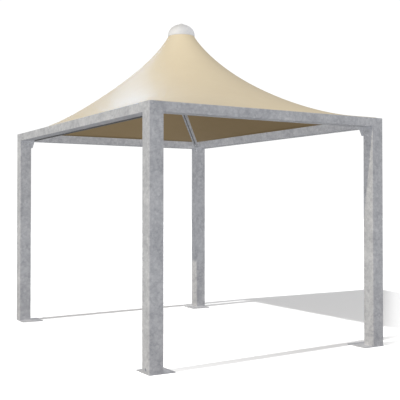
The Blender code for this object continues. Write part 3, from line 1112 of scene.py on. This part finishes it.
@dataclass
class Canopy:
    """The stretched cloth with its hem, its welded seams and the band round its neck."""

    palette: Palette
    sheet: StretchedSheet = field(default_factory=StretchedSheet)
    thick: float = 0.0016
    strip_lift: float = 0.0011
    strip_thick: float = 0.0010
    seam_width: float = 0.030
    seam_start: float = 0.02
    seam_end: float = 1.6
    seam_steps: int = 90
    seam_shares: tuple[float, ...] = (-1, -0.33, 0.33, 1)
    hem_width: float = 0.045
    hem_radius: float = 0.0016
    hem_steps: tuple[int, ...] = (60, 44, 60, 44)
    hem_shares: tuple[float, ...] = (0.0, 0.33, 0.66, 0.98)
    roll_inset: float = 0.002
    roll_turn: float = 0.03
    roll_pitch: float = 0.05
    turn_steps: int = 6
    band_steps: int = 96
    band_reach: tuple[float, ...] = (0.0015, 0.010, 0.019)

    def cloth(self) -> bpy.types.Object:
        """Make the sheet itself, with the outside finish on top and, underneath, a darker brown copy that paints
        the shade under the canopy.

        Returns:
            The sheet.
        """
        rings, rays = self.sheet.heights.shape
        grid = self.sheet.grid.reshape(-1, 3)
        faces = [(ring * rays + ray, (ring + 1) * rays + ray, (ring + 1) * rays + (ray + 1) % rays,
                  ring * rays + (ray + 1) % rays) for ring in range(rings - 1) for ray in range(rays)]
        mesh = bpy.data.meshes.new("canopy_sheet")
        mesh.from_pydata(grid.tolist(), [], faces)
        finishes = [self.palette.outside, self.palette.inside]
        cloth = Workshop.piece("canopy_sheet", mesh, finishes, Slot.FABRIC, sharp=80)
        skin = cloth.modifiers.new("Thickness", "SOLIDIFY")
        skin.thickness = self.thick
        skin.offset = 0.0
        skin.material_offset = 1
        skin.material_offset_rim = 0
        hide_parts("canopy")
        return cloth

    def strip(self, shape: bmesh.types.BMesh, rows: Sequence[Sequence[tuple[float, float]]],
              closed: bool = False) -> None:
        """Lay a thin strip of cloth on the sheet.

        Args:
            shape: Mesh to add to.
            rows: Plan points across the strip, one row for each step along it.
            closed: Whether the last row joins the first.
        """
        lifts = (self.strip_lift + self.strip_thick / 2, self.strip_lift - self.strip_thick)
        upper, lower = ([[shape.verts.new(self.sheet.point(x, y, lift)) for x, y in row] for row in rows]
                        for lift in lifts)
        last = len(rows[0]) - 1
        for k in range(len(rows) - (0 if closed else 1)):
            n = (k + 1) % len(rows)
            for j in range(last):
                shape.faces.new((upper[k][j], upper[n][j], upper[n][j + 1], upper[k][j + 1]))
                shape.faces.new((lower[k][j], lower[k][j + 1], lower[n][j + 1], lower[n][j]))
            for j in (0, last):
                shape.faces.new((upper[k][j], lower[k][j], lower[n][j], upper[n][j]))
        if not closed:
            for row in (0, -1):
                for j in range(last):
                    shape.faces.new((upper[row][j], upper[row][j + 1], lower[row][j + 1], lower[row][j]))
        bmesh.ops.recalc_face_normals(shape, faces=shape.faces)

    def seams(self) -> bpy.types.Object:
        """Lay the welded overlaps from the neck to the four corners.

        Returns:
            The seams.
        """
        shape = bmesh.new()
        span = Vector((self.sheet.half_x, self.sheet.half_y))
        for corner in Corner:
            out = Vector((corner.sx * span.x, corner.sy * span.y)).normalized()
            side = Vector((-out.y, out.x)) * self.seam_width / 2
            rows = []
            first, last = self.sheet.neck + self.seam_start, span.length - self.hem_width * self.seam_end
            for reach in np.linspace(first, last, self.seam_steps):
                centre = out * reach
                rows.append([tuple(centre + side * share) for share in self.seam_shares])
            self.strip(shape, rows)
        return Workshop.piece("canopy_seams", shape, [self.palette.outside], Slot.FABRIC, sharp=50)

    def hem(self) -> bpy.types.Object:
        """Lay the cloth's doubled edge.

        Returns:
            The hem.
        """
        shape = bmesh.new()
        x, y, width = self.sheet.half_x, self.sheet.half_y, self.hem_width
        rows = []
        corners = [(x, -y), (x, y), (-x, y), (-x, -y)]
        for number, count in enumerate(self.hem_steps):
            start, end = Vector(corners[number]), Vector(corners[(number + 1) % 4])
            for k in range(count):
                outer = start.lerp(end, k / count)
                inner = Vector((outer.x * (x - width) / x, outer.y * (y - width) / y))
                rows.append([tuple(inner.lerp(outer, share)) for share in self.hem_shares])
        self.strip(shape, rows, closed=True)
        return Workshop.piece("canopy_hem", shape, [self.palette.outside], Slot.FABRIC, sharp=50)

    def edge_roll(self) -> bpy.types.Object:
        """Make the hem's round edge, over the cord that holds it in the rail.

        Returns:
            The roll.
        """
        x, y, turn = self.sheet.half_x - self.roll_inset, self.sheet.half_y - self.roll_inset, self.roll_turn
        path = []
        for cx, cy, start in ((x, y, 0), (-x, y, 90), (-x, -y, 180), (x, -y, 270)):
            middle = Vector((math.copysign(abs(cx) - turn, cx), math.copysign(abs(cy) - turn, cy), 0))
            for step in range(self.turn_steps + 1):
                angle = math.radians(start + 90 / self.turn_steps * step)
                path.append(middle + Vector((math.cos(angle), math.sin(angle), 0)) * turn)
        height = self.sheet.edge_height - self.thick / 2 + self.hem_radius
        full = []
        for k, point in enumerate(path):
            after = path[(k + 1) % len(path)]
            count = max(1, round((after - point).length / self.roll_pitch))
            full += [point.lerp(after, s / count) + UP * height for s in range(count)]
        shape = Workshop.sweep(full, [self.hem_radius] * len(full), 10, closed=True)
        return Workshop.piece("canopy_edge_roll", shape, [self.palette.outside], Slot.FABRIC, sharp=60)

    def neck_band(self) -> bpy.types.Object:
        """Lay the doubled band round the neck, under the cap.

        Returns:
            The band.
        """
        shape = bmesh.new()
        rows = []
        for angle in np.linspace(0, math.tau, self.band_steps, endpoint=False):
            rows.append([(math.cos(angle) * r, math.sin(angle) * r)
                         for r in (self.sheet.neck + reach for reach in self.band_reach)])
        self.strip(shape, rows, closed=True)
        return Workshop.piece("canopy_neck_band", shape, [self.palette.outside], Slot.FABRIC, sharp=50)

    def build(self) -> list[bpy.types.Object]:
        """Returns:
            The cloth and the pieces on it.
        """
        cloth = self.cloth()
        extras = [self.seams(), self.hem(), self.edge_roll(), self.neck_band()]
        width, length = self.sheet.slant(0), self.sheet.slant(1)
        return [cloth, *extras]

    def area(self) -> float:
        """Measure the cloth.

        Returns:
            Its area in square metres.
        """
        grid = self.sheet.grid
        after = np.roll(grid, -1, axis=1)
        first = np.cross(grid[1:] - grid[:-1], after[1:] - grid[:-1])
        second = np.cross(after[1:] - grid[:-1], after[:-1] - grid[:-1])
        return float(np.linalg.norm(first, axis=2).sum() + np.linalg.norm(second, axis=2).sum()) / 2


@dataclass
class Cap:
    """White plastic dome on the peak, with a rolled rim and a low button."""

    palette: Palette
    radius: float = 0.171
    wall: float = 0.003
    low: float = 3.776
    spring: float = 3.790
    top: float = 3.928
    rim: tuple[tuple[float, float], ...] = ((0.0, 0.004), (0.0004, 0.0012), (0.0015, 0.0))
    button_radius: float = 0.026
    button_top: float = 3.940
    button_round: float = 0.006
    button_sink: float = 0.0004
    button_gap: float = 0.003
    seal_low: float = 0.0052
    seal_high: float = 0.0004
    seal_outer: float = 0.0006
    seal_inner: float = 0.0040
    seal_bulge: float = 0.0004
    dome_steps: int = 28
    button_steps: int = 9
    steps: int = 112

    def level(self, radius: float, wall: float = 0.0) -> float:
        """Height of the dome at a radius, at a depth below its outer face."""
        share = min(radius / (self.radius - wall), 1.0)
        return self.spring + (self.top - wall - self.spring) * math.sqrt(1 - share * share)

    def seal(self) -> None:
        """Soft round seal between the rim and the cloth's neck band."""
        low, high = self.low - self.seal_low, self.low + self.seal_high
        outer, inner, bulge = self.radius - self.seal_outer, self.radius - self.seal_inner, self.seal_bulge
        half = (low + high) / 2
        profile = [(inner, high), (outer - bulge, high), (outer, high - bulge), (outer + bulge, half),
                   (outer, low + bulge), (outer - bulge, low), (inner, low)]
        shape = Workshop.lathe(profile, self.steps)
        Workshop.piece("cap_seal", shape, [self.palette.plastic], Slot.PLASTIC, sharp=60)

    def build(self) -> None:
        """Turn the shell and lay its seal."""
        shares = [math.cos(math.pi / 2 * step / self.dome_steps) for step in range(self.dome_steps)]
        profile = [(self.button_radius * math.sin(a), self.button_top - self.button_round * (1 - math.cos(a)))
                   for a in np.linspace(0, math.pi / 2, self.button_steps)]
        profile += [(self.button_radius, self.level(self.button_radius) + self.button_sink)]
        profile += [(self.radius * s, self.level(self.radius * s)) for s in reversed(shares)
                    if self.radius * s > self.button_radius + self.button_gap]
        profile += [(self.radius - inset, self.low + rise) for inset, rise in (*self.rim, (self.wall, 0.0))]
        inner = self.radius - self.wall
        profile += [(inner * s, self.level(inner * s, self.wall)) for s in (*shares, 0)]
        shape = Workshop.lathe(profile, self.steps)
        cap = Workshop.piece("cap_shell", shape, [self.palette.plastic], Slot.PLASTIC, sharp=40)
        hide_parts("cap")
        self.seal()


@dataclass(frozen=True)
class Lamp:
    """Far lamp that shines the same everywhere."""

    name: str
    towards: Point
    bright: float
    colour: Colour = (1.0, 1.0, 1.0)
    spread: float = 40.0
    shadow: bool = False
    diffuse: bool = True
    glossy: bool = True

    def hang(self, receivers: Sequence[bpy.types.Object] = ()) -> None:
        """Put the lamp in the scene.

        Args:
            receivers: The only objects that it lights, or none for all of them.
        """
        data = bpy.data.lights.new(self.name, "SUN")
        data.energy = self.bright * math.pi
        data.angle = math.radians(self.spread)
        data.color = self.colour
        data.use_shadow = self.shadow
        lamp = bpy.data.objects.new(self.name, data)
        lamp.rotation_euler = Vector(self.towards).to_track_quat("Z", "Y").to_euler()
        lamp.visible_diffuse = self.diffuse
        lamp.visible_glossy = self.glossy
        bpy.context.scene.collection.objects.link(lamp)
        only(lamp, receivers)


def only(lamp: bpy.types.Object, receivers: Sequence[bpy.types.Object]) -> None:
    """Let a lamp light some objects only.

    Args:
        lamp: The lamp.
        receivers: What it lights, or none for everything.
    """
    if receivers:
        lit = bpy.data.collections.new(f"lit_by_{lamp.name}")
        for receiver in receivers:
            lit.objects.link(receiver)
        lamp.light_linking.receiver_collection = lit


@dataclass
class Studio:
    """Camera, pale floor, white backdrop and soft light."""

    camera_place: Point = (-4.7749, -8.482, 1.612)
    camera_tilt: float = 90.992
    camera_turn: float = -30.788
    lens: float = 68.48
    shift_up: float = -0.0201
    view_reach: float = 300.0
    floor_half: float = 60.0
    floor_low: float = -0.0005
    backdrop_radius: float = 90.0
    surround: Colour = (0.35, 0.35, 0.355)
    for_steel: tuple[Lamp, ...] = (
        Lamp("key", TO_KEY, 0.745, (1.0, 0.93, 0.75), 1.0, True),
        Lamp("fill_front", TO_FRONT, 0.81, PALE_BLUE, glossy=False),
        Lamp("fill_left", TO_LEFT, 0.86, LIGHT_BLUE, glossy=False),
        Lamp("fill_rear", TO_REAR, 0.60, glossy=False),
        Lamp("fill_low", (0.0, 0.0, -1.0), 0.10),
        Lamp("steel_top", (0.0, 0.0, 1.0), 1.0, (0.94, 0.97, 1.0), 2.0, glossy=False),
    )
    for_cloth: tuple[Lamp, ...] = (
        Lamp("cloth_key", TO_KEY, 0.775),
        Lamp("cloth_front", TO_FRONT, 0.446),
        Lamp("cloth_low", (0.28, -0.25, -0.927), 0.445),
        Lamp("cloth_sheen", (0.240, 0.832, 0.500), 0.105, (0.445, 0.654, 1.0), 10.0, diffuse=False),
    )
    for_floor: tuple[Lamp, ...] = (
        Lamp("floor_key", TO_KEY, 1.40, spread=1.0, shadow=True),
        Lamp("floor_fill", (0.0, 0.0, 1.0), 0.28),
    )
    for_inner_beams: tuple[Lamp, ...] = (
        Lamp("inner_fill", (-0.70, -0.68, -0.20), 0.19, (0.95, 0.98, 1.0), glossy=False),
    )
    for_cap: tuple[Lamp, ...] = (
        Lamp("cap_key", TO_KEY, 0.71, (1.0, 0.93, 0.78)),
        Lamp("cap_front", TO_FRONT, 0.80, PALE_BLUE, glossy=False),
        Lamp("cap_left", TO_LEFT, 0.84, LIGHT_BLUE, glossy=False),
        Lamp("cap_rear", TO_REAR, 0.60, glossy=False),
        Lamp("cap_side", (0.87, -0.40, 0.28), 0.28, glossy=False),
    )
    near_lamp: str = "floor_near"
    near_place: Point = (-1.5, -4.5, 2.0)
    near_watts: float = 350.0
    floor: bpy.types.Object = field(init=False)

    def camera(self) -> None:
        """Stand the camera at the photograph's place."""
        data = bpy.data.cameras.new("camera")
        data.lens = self.lens
        data.shift_y = self.shift_up
        data.clip_end = self.view_reach
        camera = bpy.data.objects.new("camera", data)
        camera.location = self.camera_place
        camera.rotation_euler = (math.radians(self.camera_tilt), 0.0, math.radians(self.camera_turn))
        bpy.context.scene.collection.objects.link(camera)
        bpy.context.scene.camera = camera

    def stage(self, name: str, mesh: bpy.types.Mesh, finish: bpy.types.Material) -> bpy.types.Object:
        """Put up a floor or backdrop that only the camera and the lamps meet.

        Args:
            name: Its name.
            mesh: Its mesh.
            finish: Its material.

        Returns:
            The object.
        """
        mesh.materials.append(finish)
        sheet = bpy.data.objects.new(name, mesh)
        for way in ("diffuse", "glossy", "transmission", "shadow"):
            setattr(sheet, f"visible_{way}", False)
        bpy.context.scene.collection.objects.link(sheet)
        return sheet

    def lay_floor(self) -> None:
        """Lay the floor just under the foot plates and hang the backdrop far outside."""
        size, low = self.floor_half, self.floor_low
        mesh = bpy.data.meshes.new("studio_floor")
        mesh.from_pydata([(-size, -size, low), (size, -size, low), (size, size, low), (-size, size, low)],
                         [], [(0, 1, 2, 3)])
        self.floor = self.stage("studio_floor", mesh, StudioPaper().make())
        dome = bmesh.new()
        bmesh.ops.create_icosphere(dome, subdivisions=4, radius=self.backdrop_radius)
        mesh = bpy.data.meshes.new("studio_backdrop")
        dome.to_mesh(mesh)
        dome.free()
        self.stage("studio_backdrop", mesh, Backdrop().make())

    def even_light(self) -> None:
        """Even dim light from all round."""
        world = bpy.data.worlds.new("surround")
        world.use_nodes = True
        world.node_tree.nodes["Background"].inputs["Color"].default_value = (*self.surround, 1.0)
        bpy.context.scene.world = world

    def build(self) -> None:
        """Set up the camera, the floor and the surround."""
        scene = bpy.context.scene
        scene.view_settings.view_transform = "Standard"
        scene.view_settings.look = "None"
        self.camera()
        self.lay_floor()
        self.even_light()
        LOG.info("studio ready")

    def light(self, cloth: Sequence[bpy.types.Object]) -> None:
        """Hang the lamps, with some for the cloth, the floor or the rest only.

        Args:
            cloth: The pieces of cloth.
        """
        scene = bpy.context.scene
        aside = {obj.name for obj in cloth} | {"studio_floor", "studio_backdrop"}
        solids = [obj for obj in scene.objects if obj.type == "MESH" and obj.name not in aside]
        cap = [obj for obj in solids if obj.name.startswith("cap_")]
        steel = [obj for obj in solids if obj not in cap]
        inner = [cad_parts[f"beam_{side.value}"] for side in (Side.BACK, Side.RIGHT)]
        for lamps, receivers in ((self.for_steel, steel), (self.for_cloth, cloth), (self.for_cap, cap),
                                 (self.for_inner_beams, inner), (self.for_floor, (self.floor,))):
            for lamp in lamps:
                lamp.hang(receivers)
        data = bpy.data.lights.new(self.near_lamp, "POINT")
        data.energy = self.near_watts
        data.use_shadow = False
        lamp = bpy.data.objects.new(self.near_lamp, data)
        lamp.location = self.near_place
        scene.collection.objects.link(lamp)
        only(lamp, (self.floor,))


def main() -> None:
    """Build every part of the scene in order."""
    logging.basicConfig(level=logging.INFO, format="%(name)s %(message)s")
    palette = Palette()
    studio = Studio()
    studio.build()
    Frame(palette).build()
    cloth = Canopy(palette).build()
    Cap(palette).build()
    studio.light(cloth)


if __name__ == "__main__":
    main()
